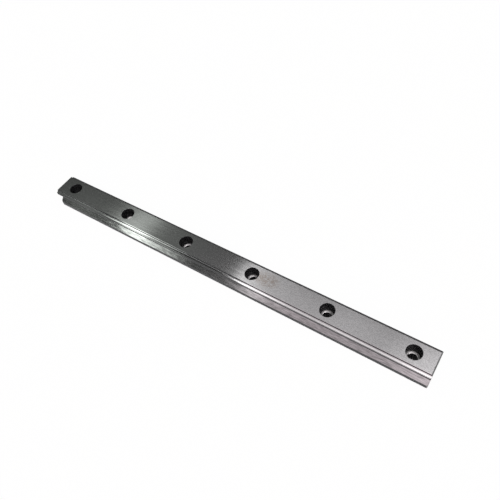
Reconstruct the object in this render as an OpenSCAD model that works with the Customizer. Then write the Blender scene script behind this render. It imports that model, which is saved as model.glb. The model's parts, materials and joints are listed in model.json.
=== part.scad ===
// Profiled linear guide rail: one length of ground steel. A carriage runs
// along it on balls, in a raceway groove above and below the ridge on each
// side. The carriage's lips reach into the waist under the ridges. The foot
// has sloping flanks, and screws go down through a row of counterbored holes.
// Millimetres, +Z up, +X along the rail. The origin is on the underside,
// halfway along the rail and on its centre line.

/* [Length and screw holes] */
// Number of screw holes
hole_count = 6; // [2:1:12]
// Distance from one screw hole to the next
hole_pitch = 80; // [60:5:120]
// Distance from each end face to the nearest hole's centre
end_distance = 20; // [12:0.5:40]
// Diameter of the screw hole, for an M8 screw
hole_d = 9; // [8.4:0.1:10]
// Diameter of the counterbore that takes the screw's head
counterbore_d = 14; // [13:0.5:15.5]
// Depth of the counterbore below the top face
counterbore_depth = 12; // [9:0.5:14]
// Chamfer round the counterbore's mouth
mouth_chamfer = 0.2; // [0.1:0.1:0.5]
// Chamfer round the end faces
end_chamfer = 1; // [0.6:0.1:1.2]

/* [Head and ridges] */
// Height from the underside to the top face
rail_height = 23; // [22.5:0.5:26]
// Width of the flat top face
top_width = 21.6; // [21:0.1:22.2]
// Chamfer along each edge of the top face
top_chamfer = 0.3; // [0.2:0.05:0.35]
// Width over the ridges
ridge_width = 27.4; // [27:0.1:27.8]
// Depth of the ridge's upper side below the top face
ridge_depth = 2.9; // [2.7:0.1:3.2]
// Thickness of the ridge between the two raceways
ridge_thickness = 2.8; // [2.4:0.1:3]
// Chamfer along the ridge's two outer corners
ridge_chamfer = 0.2; // [0.1:0.05:0.25]

/* [Raceways] */
// Depth below the top face at which the upper raceway begins
raceway_start = 0.5; // [0.4:0.05:0.7]
// Angle that each raceway's arc turns through, in degrees
raceway_arc = 108; // [102:1:114]

/* [Waist and foot] */
// Width of the waist below the lower raceways
waist_width = 19; // [18.8:0.1:19.8]
// Width of the foot, which is the widest part of the rail
foot_width = 28; // [27.8:0.1:29]
// Height of the foot's upright sides, which locate the rail
foot_side = 5; // [4.4:0.1:5.4]
// Slope of the foot's flanks above the horizontal, in degrees
flank_angle = 45; // [40:1:46]
// Chamfer along the foot's lower corners
foot_chamfer = 0.4; // [0.2:0.1:0.8]

/* [Hidden] */
$fn = 96;

// How far each cutting shape runs past the surface that it cuts
past = 1;

rail_length = (hole_count - 1) * hole_pitch + 2 * end_distance;

// Half widths. The raceway's outer lip is where the ridge's chamfer begins.
half_top = top_width / 2;
half_head = half_top + top_chamfer;
half_ridge = ridge_width / 2;
half_lip = half_ridge - ridge_chamfer;
half_waist = waist_width / 2;
half_foot = foot_width / 2;

// A raceway's arc runs between its two lips, one on the head's side and one
// on the ridge. The straight line between them and the arc's angle give its
// radius, and the centre's share of that line's length out from its middle.
chord = [half_lip - half_head, ridge_depth - raceway_start];
raceway_r = norm(chord) / 2 / sin(raceway_arc / 2);
out = 1 / tan(raceway_arc / 2) / 2;
raceway_y = half_head + chord[0] / 2 + out * chord[1];
raceway_depth = raceway_start + chord[1] / 2 - out * chord[0];

// The lower raceway mirrors the upper one about the middle of the ridge
ridge_middle = rail_height - ridge_depth - ridge_thickness / 2;
raceway_offset = rail_height - raceway_depth - ridge_middle;
// Height at which the lower raceway ends on the head's side
head_end = 2 * ridge_middle - (rail_height - raceway_start);
// Height of the waist's lower end, where the flank begins
flank_top = foot_side + (half_foot - half_waist) * tan(flank_angle);

// The straight cut under each raceway stays inside its circle. On the ridge's
// side it begins half a chamfer's width beyond the lip.
cut_depth = (raceway_start + raceway_depth) / 2;

// The outline from the middle of the ridge up to the top face, as [y, z]
upper_outline = [
    [half_ridge, ridge_middle + ridge_thickness / 2 - ridge_chamfer],
    [half_lip - ridge_chamfer / 2, ridge_middle + (ridge_thickness + ridge_chamfer) / 2],
    [half_head, rail_height - cut_depth],
    [half_head, rail_height - top_chamfer],
    [half_top, rail_height]
];

// One half of the outline, from the underside up to the top face. The
// underside of the ridge and the lower raceway mirror the upper ones.
half_outline = concat(
    [
        [half_foot - foot_chamfer, 0],
        [half_foot, foot_chamfer],
        [half_foot, foot_side],
        [half_waist, flank_top],
        [half_waist, head_end - (half_head - half_waist)],
        [half_head, head_end]
    ],
    [for (i = [2 : -1 : 0]) [upper_outline[i][0], 2 * ridge_middle - upper_outline[i][1]]],
    upper_outline
);
last = len(half_outline) - 1;

// The section across the rail, with y to the right and z up
module section() {
    difference() {
        polygon(concat(
            half_outline,
            [for (i = [last : -1 : 0]) [-half_outline[i][0], half_outline[i][1]]]
        ));
        for (side = [-1, 1], way = [-1, 1])
            translate([side * raceway_y, ridge_middle + way * raceway_offset])
                circle(r = raceway_r);
    }
}

// A prism that takes the sharp edge off a corner. The corner is at the
// origin, with the steel on its -X and -Z sides, and its edge runs along Y.
module edge_cut(length) {
    rotate([90, 0, 0])
        linear_extrude(length + 2 * past, center = true)
            polygon([[-end_chamfer - past, past], [past, past], [past, -end_chamfer - past]]);
}

// The four edge cuts round the end face at +X
module end_cuts() {
    translate([rail_length / 2, 0, rail_height])
        edge_cut(foot_width);
    translate([rail_length / 2, 0, 0])
        mirror([0, 0, 1])
            edge_cut(foot_width);
    for (side = [-1, 1])
        translate([rail_length / 2, side * half_foot, rail_height / 2])
            rotate([-side * 90, 0, 0])
                edge_cut(rail_height);
}

// The space of one counterbored screw hole
module screw_hole() {
    shoulder = rail_height - counterbore_depth;
    counterbore_r = counterbore_d / 2;
    rotate_extrude()
        polygon([
            [0, -past],
            [hole_d / 2, -past],
            [hole_d / 2, shoulder],
            [counterbore_r, shoulder],
            [counterbore_r, rail_height - mouth_chamfer],
            [counterbore_r + mouth_chamfer + past, rail_height + past],
            [0, rail_height + past]
        ]);
}

module rail() {
    color("#8e908f")
        difference() {
            rotate([90, 0, 90])
                linear_extrude(rail_length, center = true)
                    section();
            for (i = [0 : hole_count - 1])
                translate([(i - (hole_count - 1) / 2) * hole_pitch, 0, 0])
                    screw_hole();
            end_cuts();
            mirror([1, 0, 0])
                end_cuts();
        }
}

rail();
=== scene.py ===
# %% [markdown]
# # A profiled linear guide rail in ground steel
#
# A linear guide rail is one length of hardened steel. A carriage runs along it on balls, and the
# balls roll in four grooves, called raceways: one above and one below the ridge on each side.
# Screws hold the rail down through a row of counterbored holes.
#
# This lesson models the rail with the tools of edit mode, gives each kind of surface its own
# finish, and lights it as a small studio would. Lengths are written in millimetres, as on a
# drawing, and turned to Blender's metres where they are used.

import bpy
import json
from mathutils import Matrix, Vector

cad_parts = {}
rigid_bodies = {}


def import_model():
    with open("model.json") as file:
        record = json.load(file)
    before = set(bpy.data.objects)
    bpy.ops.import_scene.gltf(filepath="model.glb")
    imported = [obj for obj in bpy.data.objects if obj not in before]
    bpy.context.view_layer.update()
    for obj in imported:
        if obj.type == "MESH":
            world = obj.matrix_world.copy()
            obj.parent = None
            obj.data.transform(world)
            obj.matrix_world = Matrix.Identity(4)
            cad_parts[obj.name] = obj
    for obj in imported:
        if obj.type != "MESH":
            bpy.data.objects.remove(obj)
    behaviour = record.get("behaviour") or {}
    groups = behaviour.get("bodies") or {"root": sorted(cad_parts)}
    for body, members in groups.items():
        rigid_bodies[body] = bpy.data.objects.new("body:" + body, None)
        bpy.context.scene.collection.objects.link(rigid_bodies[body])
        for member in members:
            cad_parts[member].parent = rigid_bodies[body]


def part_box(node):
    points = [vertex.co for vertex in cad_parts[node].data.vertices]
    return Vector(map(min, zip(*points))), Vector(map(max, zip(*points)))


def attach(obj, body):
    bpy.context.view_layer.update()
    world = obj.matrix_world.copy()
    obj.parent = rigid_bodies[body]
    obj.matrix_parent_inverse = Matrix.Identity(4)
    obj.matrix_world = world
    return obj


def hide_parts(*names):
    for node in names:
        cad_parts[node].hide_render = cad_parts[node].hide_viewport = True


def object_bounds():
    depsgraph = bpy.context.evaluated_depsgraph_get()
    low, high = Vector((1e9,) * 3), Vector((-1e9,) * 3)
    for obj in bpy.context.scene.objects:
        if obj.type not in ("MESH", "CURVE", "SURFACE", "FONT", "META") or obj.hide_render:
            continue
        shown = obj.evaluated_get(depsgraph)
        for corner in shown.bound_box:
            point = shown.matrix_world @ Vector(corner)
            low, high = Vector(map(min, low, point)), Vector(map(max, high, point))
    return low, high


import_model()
solid_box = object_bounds()
print("corners of the solid model, in metres:")
for corner in solid_box:
    print(*(round(part, 4) for part in corner))

# %% Units, and the rail's own size
import json
import math

import bpy
from mathutils import Matrix, Vector

MM = 0.001
# Two places closer than this, in millimetres, count as the same one
CLOSE = 0.1
# A face whose normal goes this far along an axis faces that way
FACING = 0.9

low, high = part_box("rail")
RAIL_LENGTH = (high.x - low.x) / MM
RAIL_HEIGHT = (high.z - low.z) / MM
FOOT_HALF = (high.y - low.y) / MM / 2
print(f"rail: {RAIL_LENGTH:.1f} long, {2 * FOOT_HALF:.1f} wide and {RAIL_HEIGHT:.1f} mm high")

# %% [markdown]
# ## The section
#
# The rail's section is drawn as a list of levels, each a half width and a height. It starts at
# the foot's upright side, goes up the sloping flank and the waist, round the lower raceway, over
# the ridge, round the upper raceway and over the chamfer of the top face.
#
# Both raceways are arcs of one radius, so a short function gives their points. They are mirror
# images about the middle of the ridge.

# %% The raceway's arc
HEAD_HALF = 11.1
RACEWAY_TOP = 22.5
LIP_HALF = 13.5
RIDGE_TOP = 20.1
RACEWAY_ARC = 108
RACEWAY_STEPS = 32


def raceway_points(start, end, degrees, steps):
    """Points on the arc that turns through an angle from start to end, hollow towards them."""
    span = end - start
    centre = (start + end) / 2 - span.orthogonal() / 2 / math.tan(math.radians(degrees / 2))
    arm = start - centre
    angles = [math.radians(degrees) * step / steps for step in range(steps + 1)]
    return [tuple(centre + Matrix.Rotation(-angle, 2) @ arm) for angle in angles]


arc = raceway_points(
    Vector((LIP_HALF, RIDGE_TOP)), Vector((HEAD_HALF, RACEWAY_TOP)), RACEWAY_ARC, RACEWAY_STEPS
)
for half, height in (arc[0], arc[RACEWAY_STEPS // 2], arc[-1]):
    print(f"raceway: {half:.2f} mm from the middle at a height of {height:.2f} mm")

# %% The levels of the section, from the foot's side up to the top face
FOOT_SIDE = 5.0
WAIST_HALF = 9.5
FLANK_TOP = FOOT_SIDE + FOOT_HALF - WAIST_HALF
RIDGE_HALF = 13.7
RIDGE_THICKNESS = 2.8
RIDGE_CHAMFER = 0.2
TOP_HALF = 10.8
TOP_CHAMFER = 0.3

upper = [(RIDGE_HALF, RIDGE_TOP - RIDGE_CHAMFER), *arc]
lower = [(half, 2 * RIDGE_TOP - RIDGE_THICKNESS - height) for half, height in reversed(upper)]
head_bottom = lower[0][1] - (HEAD_HALF - WAIST_HALF)
levels = [
    (FOOT_HALF, FOOT_SIDE),
    (WAIST_HALF, FLANK_TOP),
    (WAIST_HALF, head_bottom),
    *lower,
    *upper,
    (HEAD_HALF, RAIL_HEIGHT - TOP_CHAMFER),
    (TOP_HALF, RAIL_HEIGHT),
]
print(f"section: {len(levels)} levels")

# %% [markdown]
# ## The bar
#
# A real rail is drawn through a die, so its section is the same all along. An extrusion of the
# section's outline would make it too. Here the bar grows from a block instead: the block is the
# foot, and its top face is extruded up through the levels and made wider or narrower at each.
# The screw holes are made in the same way later, so one function does both.

# %% Selecting by place and normal
def select_faces(piece, wanted):
    """Enters edit mode with only the faces selected whose centre and normal are wanted."""
    bpy.ops.object.mode_set(mode="EDIT")
    bpy.ops.mesh.select_mode(type="FACE")
    bpy.ops.mesh.select_all(action="DESELECT")
    bpy.ops.object.mode_set(mode="OBJECT")
    for face in piece.data.polygons:
        face.select = wanted(face.center / MM, face.normal)
    chosen = sum(face.select for face in piece.data.polygons)
    bpy.ops.object.mode_set(mode="EDIT")
    return chosen


def select_edges(piece, wanted):
    """Enters edit mode with only the edges selected whose two ends are wanted."""
    bpy.ops.object.mode_set(mode="EDIT")
    bpy.ops.mesh.select_mode(type="EDGE")
    bpy.ops.mesh.select_all(action="DESELECT")
    bpy.ops.object.mode_set(mode="OBJECT")
    points = piece.data.vertices
    for edge in piece.data.edges:
        edge.select = wanted(*(points[corner].co / MM for corner in edge.vertices))
    chosen = sum(edge.select for edge in piece.data.edges)
    bpy.ops.object.mode_set(mode="EDIT")
    return chosen


print("selecting: by a face's centre and normal, or by an edge's two ends")

# %% Growing a selected face through a list of levels
def climb(levels, both_ways):
    """Extrudes the selected face from each level's size and height to the next one's."""
    for (size, height), (next_size, next_height) in zip(levels, levels[1:]):
        rise = (0, 0, (next_height - height) * MM)
        bpy.ops.mesh.extrude_region_move(TRANSFORM_OT_translate={"value": rise})
        ratio = next_size / size
        spread = (ratio if both_ways else 1, ratio, 1)
        bpy.ops.transform.resize(value=spread)


print(f"climbing: {len(levels) - 1} steps up the section")

# %% The foot's block, with its lower corners bevelled
FOOT_CHAMFER = 0.4

bpy.ops.object.select_all(action="DESELECT")
bpy.ops.mesh.primitive_cube_add(
    size=1,
    location=(0, 0, FOOT_SIDE / 2 * MM),
    scale=(RAIL_LENGTH * MM, 2 * FOOT_HALF * MM, FOOT_SIDE * MM),
)
rail = bpy.context.object
rail.name = "guide_rail"
bpy.ops.object.transform_apply(location=True, rotation=True, scale=True)
found = select_edges(rail, lambda a, b: a.z + b.z < CLOSE and abs(a.x - b.x) > CLOSE)
bpy.ops.mesh.bevel(offset=FOOT_CHAMFER * MM, segments=1, affect="EDGES")
print(f"foot: {found} corners bevelled")

# %% The flank, waist, raceways, ridge and head
found = select_faces(rail, lambda centre, normal: normal.z > FACING)
climb(levels, both_ways=False)
bpy.ops.object.mode_set(mode="OBJECT")
print(f"bar: {len(rail.data.polygons)} faces, grown from {found}")

# %% [markdown]
# ## The ends
#
# A rail is cut to length from a longer one, and the cut's sharp edges are taken off. The bevel
# tool would follow every corner of the section, down into the raceways. A grinder takes off only
# what it reaches, which is the top, the underside and the foot's two sides, so each edge is cut
# by one plane with the bisect tool.

# %% Eight planes, four round each end
END_CHAMFER = 1.0
# Points closer than this, in millimetres, are merged into one
WELD = 0.001

edges = [
    ((0, 0, RAIL_HEIGHT), (0, 0, 1)),
    ((0, 0, 0), (0, 0, -1)),
    ((0, FOOT_HALF, 0), (0, 1, 0)),
    ((0, -FOOT_HALF, 0), (0, -1, 0)),
]
for end in (-1, 1):
    for place, outward in edges:
        slope = Vector((end, 0, 0)) + Vector(outward)
        corner = Vector((end * (RAIL_LENGTH / 2 - END_CHAMFER), 0, 0)) + Vector(place)
        bpy.ops.object.mode_set(mode="EDIT")
        bpy.ops.mesh.select_all(action="SELECT")
        bpy.ops.mesh.bisect(
            plane_co=corner * MM,
            plane_no=slope,
            use_fill=True,
            clear_outer=True,
            threshold=WELD * MM,
        )
        bpy.ops.object.mode_set(mode="OBJECT")
print(f"bar with its ends finished: {len(rail.data.polygons)} faces")

# %% [markdown]
# ## The screw holes
#
# Each screw passes through a bore, and its head sits in a wider counterbore, on a flat ring
# called the shoulder. A drill and then a counterbore cutter made them before the rail was
# hardened, and their mouths have a small chamfer.
#
# The shape of one hole is grown from a circle, copied along the rail, and cut out of the bar by
# one Boolean modifier.

# %% The shape of one hole, grown from a circle
HOLE_RADIUS = 4.5
COUNTERBORE_RADIUS = 7.0
COUNTERBORE_DEPTH = 12
SHOULDER = RAIL_HEIGHT - COUNTERBORE_DEPTH
MOUTH_CHAMFER = 0.2
HOLE_CORNERS = 128
# How far the shape runs past the faces that it cuts
PAST = 1

hole_levels = [
    (HOLE_RADIUS, -PAST),
    (HOLE_RADIUS, SHOULDER),
    (COUNTERBORE_RADIUS, SHOULDER),
    (COUNTERBORE_RADIUS, RAIL_HEIGHT - MOUTH_CHAMFER),
    (COUNTERBORE_RADIUS + MOUTH_CHAMFER + PAST, RAIL_HEIGHT + PAST),
]
bpy.ops.object.select_all(action="DESELECT")
bpy.ops.mesh.primitive_circle_add(
    vertices=HOLE_CORNERS,
    radius=HOLE_RADIUS * MM,
    fill_type="NGON",
    location=(0, 0, -PAST * MM),
)
cutter = bpy.context.object
cutter.name = "hole_shape"
bpy.ops.object.transform_apply(location=True, rotation=True, scale=True)
bpy.ops.object.mode_set(mode="EDIT")
bpy.ops.mesh.select_all(action="SELECT")
climb(hole_levels, both_ways=True)
bpy.ops.mesh.select_all(action="SELECT")
bpy.ops.mesh.normals_make_consistent(inside=False)
bpy.ops.object.mode_set(mode="OBJECT")
print(f"hole shape: {len(cutter.data.polygons)} faces")

# %% Six of them in a row
HOLE_COUNT = 6
HOLE_PITCH = 80

hole_places = [(i - (HOLE_COUNT - 1) / 2) * HOLE_PITCH for i in range(HOLE_COUNT)]
cutter.location.x = hole_places[0] * MM
for place in hole_places[1:]:
    bpy.ops.object.select_all(action="DESELECT")
    cutter.select_set(True)
    bpy.context.view_layer.objects.active = cutter
    bpy.ops.object.duplicate(linked=False)
    bpy.context.object.location.x = place * MM
bpy.ops.object.select_all(action="SELECT")
for thing in bpy.context.selected_objects:
    thing.select_set(thing.name.startswith("hole_shape"))
bpy.context.view_layer.objects.active = cutter
bpy.ops.object.join()
bpy.ops.object.transform_apply(location=True, rotation=True, scale=True)
print(f"hole shapes at x = {hole_places}")

# %% Cutting them out of the bar
bpy.ops.object.select_all(action="DESELECT")
rail.select_set(True)
bpy.context.view_layer.objects.active = rail
cut = rail.modifiers.new("screw_holes", "BOOLEAN")
cut.operation = "DIFFERENCE"
cut.solver = "EXACT"
cut.object = cutter
bpy.ops.object.modifier_apply(modifier=cut.name)
bpy.data.objects.remove(cutter)
print(f"rail with its holes: {len(rail.data.polygons)} faces")

# %% [markdown]
# ## Smooth arcs and crisp edges
#
# The raceways and the holes are round, and everything else has edges that a machine left crisp.
# Shading smooth by angle rounds what turns by a few degrees from face to face and keeps the rest.

# %% Clean up, and shade by angle
SMOOTH_ANGLE = 12

bpy.ops.object.mode_set(mode="EDIT")
bpy.ops.mesh.select_all(action="SELECT")
bpy.ops.mesh.remove_doubles(threshold=2 * WELD * MM)
bpy.ops.mesh.normals_make_consistent(inside=False)
bpy.ops.object.mode_set(mode="OBJECT")
bpy.ops.object.shade_smooth_by_angle(angle=math.radians(SMOOTH_ANGLE))
print(f"rail: {len(rail.data.vertices)} points, {len(rail.data.polygons)} faces")

# %% [markdown]
# ## Colours and nodes
#
# Colours are written as they look on a screen, as hex values, and Blender wants them linear. One
# function turns them. Another adds a node of any kind with its settings and links, so that a
# material reads as a list of what it is made of. A Mix node has sockets for each type of data,
# so its colour sockets go by number.

# %% A colour's linear value
def linear(hex_colour):
    """Blender's linear RGBA of an sRGB hex colour, by the standard's own formula."""
    parts = [int(hex_colour[i : i + 2], 16) / 255 for i in (1, 3, 5)]
    return (*(c / 12.92 if c <= 0.04045 else ((c + 0.055) / 1.055) ** 2.4 for c in parts), 1)


print(f"middle grey #777777 is {linear('#777777')[0]:.2f} in linear light")

# %% A node with its settings and links
MIX_FIRST = 6
MIX_SECOND = 7
MIX_RESULT = 2


def add_node(tree, kind, inputs=None, stops=(), **settings):
    """Adds a node. An input's value is a number, a colour, or the output that is linked to it.

    A colour ramp also takes stops, each a place from 0 to 1 and a strength or a colour.
    """
    node = tree.nodes.new(kind)
    for name, value in settings.items():
        setattr(node, name, value)
    for socket, value in (inputs or {}).items():
        if isinstance(value, bpy.types.NodeSocket):
            tree.links.new(value, node.inputs[socket])
        else:
            node.inputs[socket].default_value = value
    for number, (place, value) in enumerate(stops):
        if number == len(node.color_ramp.elements):
            node.color_ramp.elements.new(1)
        node.color_ramp.elements[number].position = place
        colour = linear(value) if isinstance(value, str) else (value, value, value, 1)
        node.color_ramp.elements[number].color = colour
    return node


print(f"a Mix node's colours go into {MIX_FIRST} and {MIX_SECOND}, and come out of {MIX_RESULT}")

# %% [markdown]
# ## The grinding pattern
#
# Every finish on this rail is steel, and what tells one from another is its pattern: its scale,
# its direction, and how much it changes the colour, the gloss and the surface's lean. A noise
# stretched along the rail gives lines, and the same noise left alone gives a cloud. It reads
# Object coordinates, so it stays with the steel.
#
# An image of real scratches would do it too, but a noise has no seams and no edge.

# %% A pattern stretched along the rail
def pattern(tree, length, spacing, detail, offset=0.0):
    """A noise whose features are length long, along the rail, and spacing apart, both in mm."""
    place = add_node(tree, "ShaderNodeTexCoord")
    stretched = add_node(
        tree,
        "ShaderNodeMapping",
        {
            "Vector": place.outputs["Object"],
            "Location": (offset, offset, offset),
            "Scale": (1 / (length * MM), 1 / (spacing * MM), 1 / (spacing * MM)),
        },
    )
    noise = add_node(
        tree,
        "ShaderNodeTexNoise",
        {"Vector": stretched.outputs["Vector"], "Scale": 1.0, "Detail": detail},
    )
    return noise.outputs["Fac"]


print(f"patterns: in millimetres, {1 / MM:.0f} to the metre")

# %% [markdown]
# ## Steel that follows a pattern
#
# Light from bare metal is all reflection, so a steel is a metallic shader with a pale grey
# colour and a roughness. One function makes that shader and lets the pattern move its colour
# and its roughness a little. The finishes below differ in what they pass to it.

# %% An empty material
def new_tree(name):
    """A new material with an empty node tree."""
    material = bpy.data.materials.new(name)
    material.use_nodes = True
    material.node_tree.nodes.clear()
    return material, material.node_tree


print("each material starts from an empty node tree")

# %% The steel shader
# A noise seldom leaves this range, so the range is stretched to run from 0 to 1
PATTERN_LOW = 0.3
PATTERN_HIGH = 0.7


def steel_shader(tree, clouds, lines, dark, light, smooth, rough, more=None):
    """Metal whose colour follows one pattern and whose roughness follows another."""
    share = add_node(
        tree,
        "ShaderNodeMapRange",
        {"Value": clouds, "From Min": PATTERN_LOW, "From Max": PATTERN_HIGH},
    )
    colour = add_node(
        tree,
        "ShaderNodeMix",
        {
            "Factor": share.outputs["Result"],
            MIX_FIRST: linear(dark),
            MIX_SECOND: linear(light),
        },
        data_type="RGBA",
    )
    roughness = add_node(
        tree,
        "ShaderNodeMapRange",
        {
            "Value": lines,
            "From Min": PATTERN_LOW,
            "From Max": PATTERN_HIGH,
            "To Min": smooth,
            "To Max": rough,
        },
    )
    sockets = {
        "Base Color": colour.outputs[MIX_RESULT],
        "Metallic": 1.0,
        "Roughness": roughness.outputs["Result"],
        **(more or {}),
    }
    shader = add_node(tree, "ShaderNodeBsdfPrincipled", sockets)
    add_node(tree, "ShaderNodeOutputMaterial", {"Surface": shader.outputs["BSDF"]})


print(f"a pattern is read from {PATTERN_LOW} to {PATTERN_HIGH}")

# %% [markdown]
# ## Steel with lines along the rail
#
# A grinding wheel, a honing stone or a drawing die leaves scratches along the rail. They spread
# each highlight across the lines and keep it sharp along them, which the shader's anisotropy
# gives, with a tangent that runs round the rail's long axis. The lines are a bump as well. A
# slow wave leans the normal along the rail by a fraction of a degree, because no wheel leaves a
# face quite flat, and that gives the edges of a reflection their streaks. A twist leans it one
# way on one side of the rail and the other way on the other, so a reflection's edge runs aslant.

# %% A surface that leans along the rail
# Patterns are moved apart by an offset each, so that they don't follow each other
WAVE_OFFSET = 7.0


def leaning(tree, normal, wave, lean, twist):
    """A normal that leans along the rail: in waves, and more and more towards its sides."""
    tilt = add_node(
        tree,
        "ShaderNodeMapRange",
        {
            "Value": pattern(tree, *wave, WAVE_OFFSET),
            "From Min": PATTERN_LOW,
            "From Max": PATTERN_HIGH,
            "To Min": -lean,
            "To Max": lean,
        },
    )
    place = add_node(tree, "ShaderNodeTexCoord")
    parts = add_node(tree, "ShaderNodeSeparateXYZ", {"Vector": place.outputs["Object"]})
    twisted = add_node(
        tree,
        "ShaderNodeMath",
        {0: parts.outputs["Y"], 1: -twist / (TOP_HALF * MM), 2: tilt.outputs["Result"]},
        operation="MULTIPLY_ADD",
    )
    along_rail = add_node(tree, "ShaderNodeCombineXYZ", {"X": twisted.outputs["Value"]})
    leaned = add_node(
        tree,
        "ShaderNodeVectorMath",
        {0: normal, 1: along_rail.outputs["Vector"]},
        operation="ADD",
    )
    unit = add_node(
        tree, "ShaderNodeVectorMath", {0: leaned.outputs["Vector"]}, operation="NORMALIZE"
    )
    return unit.outputs["Vector"]


print(f"waves: moved by {WAVE_OFFSET}")

# %% Lined steel
CLOUD_OFFSET = 3.0


def lined_steel(name, colours, gloss, cloud, line, wave, depth, lean, twist=0.0):
    """Ground, honed or drawn steel, with patterns of a length, a spacing and a detail.

    Lengths, spacings and the depth of the lines are in mm. The leans are slopes.
    """
    material, tree = new_tree(name)
    lines = pattern(tree, *line)
    bump = add_node(
        tree, "ShaderNodeBump", {"Height": lines, "Strength": 1.0, "Distance": depth * MM}
    )
    tangent = add_node(tree, "ShaderNodeTangent", direction_type="RADIAL", axis="X")
    more = {
        "Anisotropic": 0.95,
        "Normal": leaning(tree, bump.outputs["Normal"], wave, lean, twist),
        "Tangent": tangent.outputs["Tangent"],
    }
    clouds = pattern(tree, *cloud, CLOUD_OFFSET)
    steel_shader(tree, clouds, lines, *colours, *gloss, more)
    return material


print(f"clouds: moved by {CLOUD_OFFSET}")

# %% The top face, the raceways and the flanks
# Ground bearing steel: the wheel leaves a satin face, pale and even, with a fine grain of about
# a millimetre, and it leans in slow waves some 45 mm long. Its real lines are some 0.03 mm
# apart, so they are drawn ten times as coarse to show at all.
ground_steel = lined_steel(
    "ground_steel",
    colours=("#b9b9b9", "#d5d5d5"),
    gloss=(0.13, 0.17),
    cloud=(1.3, 0.8, 1),
    line=(60, 0.35, 3),
    wave=(45, 1.6, 2),
    depth=0.003,
    lean=0.003,
    twist=0.005,
)
# Ground and honed raceway: the balls run here, so it is the brightest and sharpest mirror on the
# rail. Its lines are finer still, and are drawn coarse as well.
honed_raceway = lined_steel(
    "honed_raceway",
    colours=("#d6d6d6", "#e8e8e8"),
    gloss=(0.09, 0.12),
    cloud=(4, 0.8, 1),
    line=(60, 0.3, 2),
    wave=(45, 1.6, 2),
    depth=0.002,
    lean=0.005,
)
# Drawn steel, hardened and cleaned: the flanks of the foot are never ground. The die's streaks
# are a millimetre apart and a few long, and the face waves more, so reflections break up on it.
drawn_steel = lined_steel(
    "drawn_steel",
    colours=("#9c9c9c", "#dadada"),
    gloss=(0.14, 0.18),
    cloud=(7, 0.9, 2),
    line=(30, 0.8, 2),
    wave=(14, 2.4, 2),
    depth=0.004,
    lean=0.007,
)
print(f"lined steels: {ground_steel.name}, {honed_raceway.name}, {drawn_steel.name}")

# %% [markdown]
# ## Marks on the top face
#
# Two things lie over the top face's own colour. A thin dark seam of painted shade runs along the
# far edge, for the dark back that the far chamfer would reflect. And beside the fourth hole there
# is a faint brown stain, a first breath of rust, because nothing but a film of oil protects bare
# steel. The stain is an oval whose inside a cloud breaks up into patches. The oval is a distance
# from the stain's middle, measured on stretched axes.

# %% A colour laid over a steel's own
def lay_over(tree, share, colour):
    """Mixes a colour into a steel's own, by a share from 0 to 1."""
    shader = next(node for node in tree.nodes if node.type == "BSDF_PRINCIPLED")
    own = shader.inputs["Base Color"].links[0].from_socket
    mixed = add_node(
        tree,
        "ShaderNodeMix",
        {"Factor": share, MIX_FIRST: own, MIX_SECOND: linear(colour)},
        data_type="RGBA",
    )
    tree.links.new(mixed.outputs[MIX_RESULT], shader.inputs["Base Color"])


print("a colour can be laid over any of the steels")

# %% The stain
STAIN_PLACE = (55.5, 0.7, RAIL_HEIGHT)
STAIN_REACH = (16, 9, 6)
STAIN_OFFSET = 2.0
# The stain reaches its full strength half way in from the oval's edge
FULL_STAIN = 0.5
# Rust starts in patches of about 2 mm
PATCH_LENGTH = 2.2
PATCH_SPACING = 1.6

tree = ground_steel.node_tree
place = add_node(tree, "ShaderNodeTexCoord")
oval = add_node(
    tree,
    "ShaderNodeMapping",
    {
        "Vector": place.outputs["Object"],
        "Location": tuple(-middle / reach for middle, reach in zip(STAIN_PLACE, STAIN_REACH)),
        "Scale": tuple(1 / (reach * MM) for reach in STAIN_REACH),
    },
)
distance = add_node(tree, "ShaderNodeVectorMath", {0: oval.outputs["Vector"]}, operation="LENGTH")
inside = add_node(
    tree,
    "ShaderNodeMapRange",
    {"Value": distance.outputs["Value"], "From Min": 1.0, "From Max": FULL_STAIN},
)
patches = add_node(
    tree,
    "ShaderNodeMapRange",
    {
        "Value": pattern(tree, PATCH_LENGTH, PATCH_SPACING, 2, STAIN_OFFSET),
        "From Min": PATTERN_LOW,
        "From Max": PATTERN_HIGH,
    },
)
strength = add_node(
    tree,
    "ShaderNodeMath",
    {0: inside.outputs["Result"], 1: patches.outputs["Result"]},
    operation="MULTIPLY",
)
lay_over(tree, strength.outputs["Value"], "#a49a92")
print(f"stain: {STAIN_REACH[0] * 2} x {STAIN_REACH[1] * 2} mm")

# %% The seam of painted shade
SEAM_WIDTH = 0.35

parts = add_node(tree, "ShaderNodeSeparateXYZ", {"Vector": place.outputs["Object"]})
in_painted_shade_seam = add_node(
    tree,
    "ShaderNodeMath",
    {0: parts.outputs["Y"], 1: (TOP_HALF - SEAM_WIDTH) * MM},
    operation="GREATER_THAN",
)
# The seam's colour is painted shade along the far edge, for the dark back that the far chamfer
# would reflect.
lay_over(tree, in_painted_shade_seam.outputs["Value"], "#464648")
print(f"seam: {SEAM_WIDTH} mm wide")

# %% [markdown]
# ## Steel without lines
#
# A dark, dull steel paints shade on the foot's sides, the ridge's edge and the uppermost part of
# the grooves, for the dark floor and surroundings that they would reflect. Down the screw holes
# another paints the holes' shade over the scale they keep. The cut end faces are brighter and
# dull. A cloud in the colour and the gloss is enough for all three.

# %% Clouded steel
def clouded_steel(name, colours, gloss, size):
    """Steel whose colour and gloss only cloud over, with clouds of a size in mm."""
    material, tree = new_tree(name)
    clouds = pattern(tree, size, size, 3)
    steel_shader(tree, clouds, clouds, *colours, *gloss)
    return material


# Painted shade: a grey-black steel with a soft sheen, dark where the rail would reflect dark
# surroundings.
painted_shade_steel = clouded_steel("painted_shade_steel", ("#363638", "#464648"), (0.4, 0.5), 1.5)
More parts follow.
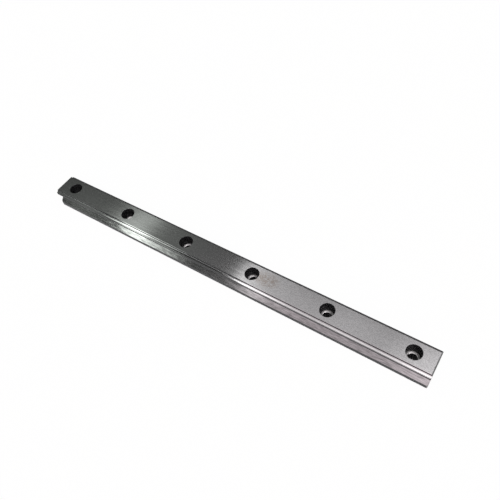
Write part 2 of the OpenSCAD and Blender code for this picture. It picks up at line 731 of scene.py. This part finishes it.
# Down the screw holes: the scale that drilled holes keep, with painted shade for the holes'
# depth: nearly black.
hole_oxide_and_shade = clouded_steel("hole_oxide_and_shade", ("#38383a", "#48484a"), (0.45, 0.6), 1.5)
# A face cut by an abrasive saw: even grey, and dull.
sawn_steel = clouded_steel("sawn_steel", ("#6c6c6c", "#8a8a8a"), (0.35, 0.45), 1.0)
print(f"clouded steels: {painted_shade_steel.name}, {hole_oxide_and_shade.name}, {sawn_steel.name}")

# %% [markdown]
# ## The shoulder in the counterbore
#
# The counterbore cutter turns as it faces the shoulder, so its lines are circles round the hole.
# They catch the light that falls down the mouth as one bright fan. A painted shade darkens the
# ring towards the wall, where the wall shades the corner, so it is brightest by the bore.
#
# One material serves all six holes: the position along the rail is wrapped to the distance from
# the nearest hole, which gives each point its direction and distance from that hole's axis.

# %% From the nearest hole's axis
def from_hole_axis(tree):
    """Two outputs: a point's direction from the nearest hole's axis, and its distance."""
    place = add_node(tree, "ShaderNodeTexCoord")
    parts = add_node(tree, "ShaderNodeSeparateXYZ", {"Vector": place.outputs["Object"]})
    half = HOLE_PITCH / 2 * MM
    shifted = add_node(
        tree, "ShaderNodeMath", {0: parts.outputs["X"], 1: -half}, operation="ADD"
    )
    from_axis = add_node(
        tree,
        "ShaderNodeMath",
        {0: shifted.outputs["Value"], 1: half, 2: -half},
        operation="WRAP",
    )
    arm = add_node(
        tree,
        "ShaderNodeCombineXYZ",
        {"X": from_axis.outputs["Value"], "Y": parts.outputs["Y"]},
    )
    outward = add_node(
        tree, "ShaderNodeVectorMath", {0: arm.outputs["Vector"]}, operation="NORMALIZE"
    )
    reach = add_node(tree, "ShaderNodeVectorMath", {0: arm.outputs["Vector"]}, operation="LENGTH")
    return outward.outputs["Vector"], reach.outputs["Value"]


print(f"holes: one every {HOLE_PITCH} mm")

# %% Turned steel
TURNED_CLOUD = 1.5


def turned_steel(name, colours, corner, gloss):
    """A ring faced by a cutter, with a painted shade in its corner at the counterbore's wall."""
    material, tree = new_tree(name)
    outward, reach = from_hole_axis(tree)
    painted_corner_shade = add_node(
        tree,
        "ShaderNodeMapRange",
        {
            "Value": reach,
            "From Min": HOLE_RADIUS * MM,
            "From Max": COUNTERBORE_RADIUS * MM,
        },
    )
    clouds = pattern(tree, TURNED_CLOUD, TURNED_CLOUD, 3)
    more = {"Anisotropic": 0.9, "Tangent": outward}
    steel_shader(tree, clouds, clouds, *colours, *gloss, more)
    # The corner colour is a painted shade, darkest at the wall and none by the bore.
    lay_over(tree, painted_corner_shade.outputs["Result"], corner)
    return material


# Turned steel, cut by the counterbore's cutter: bare and bright, but rough, so it glows softly.
# The shoulder's corner colour, #484848, is a painted shade.
turned_shoulder = turned_steel("turned_shoulder", ("#f8f7f6", "#ffffff"), "#484848", (0.55, 0.62))
print(f"turned steel: {turned_shoulder.name}")

# %% [markdown]
# ## Which finish goes where
#
# Each face gets its finish by its place and normal, in millimetres. The groove's uppermost part,
# the ridge's edge and the foot's sides get the painted shade, for the dark floor and surroundings
# that they would reflect. On the near side, the chamfer of the top face is honed with the
# raceways. On the far side, it and the groove's lip get the painted shade, for the dark back.

# %% The list of finishes
finishes = [
    ground_steel,
    honed_raceway,
    drawn_steel,
    painted_shade_steel,
    hole_oxide_and_shade,
    sawn_steel,
    turned_shoulder,
]
GROUND, HONED, DRAWN, PAINTED_SHADE, HOLE_OXIDE_AND_SHADE, SAWN, TURNED = range(len(finishes))
for finish in finishes:
    rail.data.materials.append(finish)
print(f"finishes: {len(finishes)}")

# %% The finish at a place
# The raceways are honed up to this height and painted shade lies above it, and the far lip begins
# this far from the middle
PAINTED_SHADE_ABOVE = 21.1
LIP_START = 13.0
# The end faces and their chamfers lean at least this far along the rail
END_FACING = 0.5
MOUTH_RADIUS = COUNTERBORE_RADIUS + MOUTH_CHAMFER
RIDGE_MIDDLE = RIDGE_TOP - RIDGE_THICKNESS / 2


def finish_at(centre, normal):
    """The finish of the surface at a point, in millimetres, with a normal."""
    from_hole = min(math.hypot(centre.x - place, centre.y) for place in hole_places)
    # The walls of the holes: scale with painted shade.
    if from_hole < MOUTH_RADIUS and abs(normal.z) < FACING:
        return HOLE_OXIDE_AND_SHADE
    if from_hole < MOUTH_RADIUS and abs(centre.z - SHOULDER) < CLOSE:
        return TURNED
    if abs(normal.x) > END_FACING:
        return SAWN
    if abs(normal.z) > FACING and not CLOSE <= centre.z <= RAIL_HEIGHT - CLOSE:
        return GROUND
    # The foot's sides: painted shade, for the shaded floor beside them that they would reflect.
    if centre.z < FOOT_SIDE:
        return PAINTED_SHADE
    if centre.z < head_bottom:
        return DRAWN
    # The top chamfer: painted shade on the far side, honed on the near side.
    if centre.z > RAIL_HEIGHT - TOP_CHAMFER:
        return PAINTED_SHADE if centre.y > 0 else HONED
    from_ridge = abs(centre.z - RIDGE_MIDDLE)
    # The ridge's edge: painted shade.
    if abs(normal.y) > FACING and from_ridge < RIDGE_THICKNESS / 2:
        return PAINTED_SHADE
    # The far lip: painted shade.
    if centre.y > LIP_START and from_ridge < RIDGE_THICKNESS / 2 + CLOSE:
        return PAINTED_SHADE
    # The groove's uppermost part: painted shade.
    if from_ridge > PAINTED_SHADE_ABOVE - RIDGE_MIDDLE:
        return PAINTED_SHADE
    return HONED


print(f"ridge: middle at {RIDGE_MIDDLE:.1f} mm")

# %% The finish of each face
for face in rail.data.polygons:
    face.material_index = finish_at(face.center / MM, face.normal)
for index, finish in enumerate(finishes):
    number = sum(face.material_index == index for face in rail.data.polygons)
    print(f"{finish.name}: {number} faces")

# %% [markdown]
# ## The floor
#
# The rail lies on white studio paper. To the camera, and to reflections, the paper glows nearly
# white, so that the background is clean. To the light it is ordinary matt paper, so that it
# keeps the rail's shadow. Under the rail it doesn't glow, because no light reaches it there, and
# the bores stay dark.

# %% Who looks at the paper
def ray_kinds(tree):
    """Two outputs: 1 for the camera's own rays, and 1 for rays in metal or through glass."""
    path = add_node(tree, "ShaderNodeLightPath")
    mirrored = add_node(
        tree,
        "ShaderNodeMath",
        {0: path.outputs["Is Glossy Ray"], 1: path.outputs["Is Transmission Ray"]},
        operation="MAXIMUM",
    )
    return path.outputs["Is Camera Ray"], mirrored.outputs["Value"]


print("rays: the camera's own, and those in metal or through glass")

# %% A sheet of studio paper
FLOOR_SIZE = 40

bpy.ops.object.select_all(action="DESELECT")
bpy.ops.mesh.primitive_plane_add(size=FLOOR_SIZE, location=(0, 0, 0))
floor = bpy.context.object
floor.name = "floor"
print(f"floor: {FLOOR_SIZE} m square")

# %% Where the paper lies in the open
paper, tree = new_tree("studio_paper")
floor.data.materials.append(paper)
place = add_node(tree, "ShaderNodeTexCoord")
distance = add_node(
    tree, "ShaderNodeVectorMath", {0: place.outputs["Object"]}, operation="ABSOLUTE"
)
past_rail = add_node(
    tree,
    "ShaderNodeVectorMath",
    {0: distance.outputs["Vector"], 1: (high.x, high.y, 0)},
    operation="SUBTRACT",
)
parts = add_node(tree, "ShaderNodeSeparateXYZ", {"Vector": past_rail.outputs["Vector"]})
farthest = add_node(
    tree,
    "ShaderNodeMath",
    {0: parts.outputs["X"], 1: parts.outputs["Y"]},
    operation="MAXIMUM",
)
in_the_open = add_node(
    tree, "ShaderNodeMath", {0: farthest.outputs["Value"], 1: 0.0}, operation="GREATER_THAN"
)
print(f"open paper: past {high.x / MM:.0f} mm along the rail or {high.y / MM:.0f} mm across it")

# %% Paper that glows for the eye only
# White studio paper, matt and even: pressed smooth, so it has no sheen
PAPER_GLOW = 0.96

from_camera, mirrored = ray_kinds(tree)
seen = add_node(tree, "ShaderNodeMath", {0: from_camera, 1: mirrored}, operation="MAXIMUM")
seen_in_the_open = add_node(
    tree,
    "ShaderNodeMath",
    {0: seen.outputs["Value"], 1: in_the_open.outputs["Value"]},
    operation="MULTIPLY",
)
share = add_node(
    tree,
    "ShaderNodeMath",
    {0: seen_in_the_open.outputs["Value"], 1: PAPER_GLOW},
    operation="MULTIPLY",
)
matt = add_node(tree, "ShaderNodeBsdfDiffuse", {"Color": linear("#f0f0f0")})
glow = add_node(tree, "ShaderNodeEmission", {"Color": linear("#ffffff"), "Strength": 1.0})
mixed = add_node(
    tree,
    "ShaderNodeMixShader",
    {0: share.outputs["Value"], 1: matt.outputs["BSDF"], 2: glow.outputs["Emission"]},
)
add_node(tree, "ShaderNodeOutputMaterial", {"Surface": mixed.outputs["Shader"]})
print(f"paper: {PAPER_GLOW:.0%} of its own white for the eye")

# %% [markdown]
# ## The studio
#
# Bare metal shows its surroundings, so the light is drawn as those surroundings: a studio with
# soft panels in rows along the rail, and dark gaps between them. Each face of the rail mirrors
# one row. The near flank and chamfer see the front row, the raceways see the row above it, and
# the top face sees the row over the far side. What lies behind that is dark, and it gives the
# far edge its line.
#
# A lamp for each panel would do it too. In the world's shader, a row is two colour ramps
# multiplied: one runs along the rail, and one across it. The panels' light is a little green at
# the left end and a little pink at the right. The camera itself sees plain white, and so do
# reflections of the last two degrees above the horizon, where the paper ends.

# %% Directions along and across the rail
world = bpy.data.worlds.new("studio")
bpy.context.scene.world = world
world.use_nodes = True
tree = world.node_tree
tree.nodes.clear()
way = add_node(tree, "ShaderNodeTexCoord")
parts = add_node(tree, "ShaderNodeSeparateXYZ", {"Vector": way.outputs["Generated"]})
side_on = add_node(
    tree, "ShaderNodeCombineXYZ", {"Y": parts.outputs["Y"], "Z": parts.outputs["Z"]}
)
flat_way = add_node(
    tree, "ShaderNodeVectorMath", {0: side_on.outputs["Vector"]}, operation="NORMALIZE"
)
flat_parts = add_node(tree, "ShaderNodeSeparateXYZ", {"Vector": flat_way.outputs["Vector"]})
along = add_node(
    tree, "ShaderNodeMapRange", {"Value": parts.outputs["X"], "From Min": -1.0, "From Max": 1.0}
)
across = add_node(
    tree,
    "ShaderNodeMapRange",
    {"Value": flat_parts.outputs["Y"], "From Min": -1.0, "From Max": 1.0},
)
print("directions: -1 to 1 along the rail, and -1 to 1 across it")

# %% The rows' strengths, from the left end to the right
# A strength is set at each of these places, from -1 to 1 along the rail
STATIONS = [
    -0.7, -0.665, -0.64, -0.62, -0.61, -0.6, -0.58, -0.555, -0.53, -0.5,
    -0.46, -0.42, -0.405, -0.39, -0.37, -0.34, -0.3, -0.25, -0.18, -0.1,
    -0.02, 0.1, 0.2, 0.3, 0.6, 0.75,
]
FRONT_ROW = [
    0.06, 0.23, 0.03, 0.02, 0.16, 2.56, 2.59, 0.83, 0.70, 0.10,
    0.08, 0.14, 0.18, 0.26, 1.34, 0.64, 0.61, 0.52, 0.57, 0.54,
    0.97, 1.01, 1.02, 1.02, 1.02, 1.02,
]
UPPER_ROW = [
    0.12, 0.14, 0.17, 0.82, 1.41, 1.70, 1.38, 0.30, 0.16, 0.02,
    0.02, 0.02, 0.90, 2.60, 1.34, 1.69, 0.87, 0.77, 0.99, 0.89,
    1.56, 1.64, 2.20, 4.00, 5.00, 1.00,
]
TOP_ROW = [
    0.14, 0.20, 0.16, 0.19, 0.67, 0.83, 1.10, 0.27, 0.23, 0.22,
    0.21, 0.17, 0.22, 2.00, 1.33, 0.94, 0.86, 0.82, 0.95, 0.83,
    1.44, 1.51, 1.46, 1.46, 1.46, 1.46,
]
print(f"rows: 3, each of {len(STATIONS)} panels")

# %% A ramp's places
def on_ramp(stops):
    """Moves stops from places of -1 to 1 to a colour ramp's places of 0 to 1."""
    return [((place + 1) / 2, value) for place, value in stops]


first_stop = on_ramp(zip(STATIONS, FRONT_ROW))[0]
print(f"ramp: the place {STATIONS[0]} is a ramp's {first_stop[0]:.2f}")

# %% One row of panels
LEFT_TINTS = [(-0.53, "#f9fff9"), (-0.46, "#ffffff")]
TINT_END = -0.3


def light_row(strengths, heights, right_end):
    """A row's light: its strength along the rail, its strength across it, and its tint."""
    tints = [*LEFT_TINTS, (TINT_END, right_end)]
    lengthwise = add_node(
        tree,
        "ShaderNodeValToRGB",
        {"Fac": along.outputs["Result"]},
        on_ramp(zip(STATIONS, strengths)),
    )
    crosswise = add_node(
        tree, "ShaderNodeValToRGB", {"Fac": across.outputs["Result"]}, on_ramp(heights)
    )
    tint = add_node(tree, "ShaderNodeValToRGB", {"Fac": along.outputs["Result"]}, on_ramp(tints))
    row = add_node(
        tree,
        "ShaderNodeVectorMath",
        {0: lengthwise.outputs["Color"], 1: crosswise.outputs["Color"]},
        operation="MULTIPLY",
    )
    return add_node(
        tree,
        "ShaderNodeVectorMath",
        {0: row.outputs["Vector"], 1: tint.outputs["Color"]},
        operation="MULTIPLY",
    )


print(f"tint: green before {LEFT_TINTS[0][0]}, pink after {TINT_END}")

# %% The rows, and the dark at the back
# Each runs across the rail from -1, the near horizon, over 0, straight up, to 1, the far horizon
FRONT_ACROSS = [(-1, 1), (-0.8, 1), (-0.6, 0)]
UPPER_ACROSS = [(-0.8, 0), (-0.6, 1), (0.1, 1), (0.3, 0)]
TOP_ACROSS = [(0.1, 0), (0.3, 0.85), (0.45, 1), (0.49, 0)]
BACK_ACROSS = [(0.45, 0), (0.49, 0.05), (0.93, 0.05), (0.97, 0.8)]

front = light_row(FRONT_ROW, FRONT_ACROSS, "#fff2f7")
upper = light_row(UPPER_ROW, UPPER_ACROSS, "#fffafb")
top = light_row(TOP_ROW, TOP_ACROSS, "#fffcfe")
back = add_node(
    tree,
    "ShaderNodeValToRGB",
    {"Fac": across.outputs["Result"]},
    on_ramp(BACK_ACROSS),
)
print("rows: front, upper and top, and the dark at the back")

# %% All the light together
total = back.outputs["Color"]
for row in (front, upper, top):
    total = add_node(
        tree, "ShaderNodeVectorMath", {0: total, 1: row.outputs["Vector"]}, operation="ADD"
    ).outputs["Vector"]
print("light: three rows and the back, added up")

# %% White for the camera, and for reflections near the horizon
HORIZON = 0.03

low_down = add_node(
    tree, "ShaderNodeMath", {0: parts.outputs["Z"], 1: HORIZON}, operation="LESS_THAN"
)
from_camera, mirrored = ray_kinds(tree)
mirrored_low = add_node(
    tree, "ShaderNodeMath", {0: mirrored, 1: low_down.outputs["Value"]}, operation="MULTIPLY"
)
white = add_node(
    tree,
    "ShaderNodeMath",
    {0: from_camera, 1: mirrored_low.outputs["Value"]},
    operation="MAXIMUM",
)
shown = add_node(
    tree,
    "ShaderNodeMix",
    {"Factor": white.outputs["Value"], MIX_FIRST: total, MIX_SECOND: linear("#ffffff")},
    data_type="RGBA",
)
light = add_node(
    tree, "ShaderNodeBackground", {"Color": shown.outputs[MIX_RESULT], "Strength": 1.0}
)
add_node(tree, "ShaderNodeOutputWorld", {"Surface": light.outputs["Background"]})
print(f"white up to {math.degrees(math.asin(HORIZON)):.1f} degrees above the horizon")

# %% [markdown]
# ## The camera
#
# The camera stands above the rail's right half, a little to the near side, and looks down and to
# the left. The rail then runs from corner to corner of the picture, and its left end is farther
# away and looks smaller. The camera's turn is written as three directions: its own right, up
# and back.

# %% The camera
CAMERA_PLACE = Vector((0.22334, -0.19666, 0.42298))
CAMERA_RIGHT = Vector((0.83132141, 0.54297443, -0.11867383))
CAMERA_UP = Vector((-0.38389498, 0.71536877, 0.58384259))
CAMERA_BACK = Vector((0.40190715, -0.43980255, 0.80314653))

camera_data = bpy.data.cameras.new("camera")
camera = bpy.data.objects.new("camera", camera_data)
bpy.context.scene.collection.objects.link(camera)
bpy.context.scene.camera = camera
camera_data.sensor_width = 36
camera_data.lens = 36.60
camera_data.clip_start = 0.01
turn = Matrix((CAMERA_RIGHT, CAMERA_UP, CAMERA_BACK)).transposed().to_4x4()
camera.matrix_world = Matrix.Translation(CAMERA_PLACE) @ turn
bpy.context.scene.view_settings.view_transform = "Standard"
print(f"camera: {CAMERA_PLACE.length:.2f} m from the rail's middle")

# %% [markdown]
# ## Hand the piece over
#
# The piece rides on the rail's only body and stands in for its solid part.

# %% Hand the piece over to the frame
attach(rail, "root")
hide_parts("rail")
print(f"rail: {len(rail.data.polygons)} faces handed over")
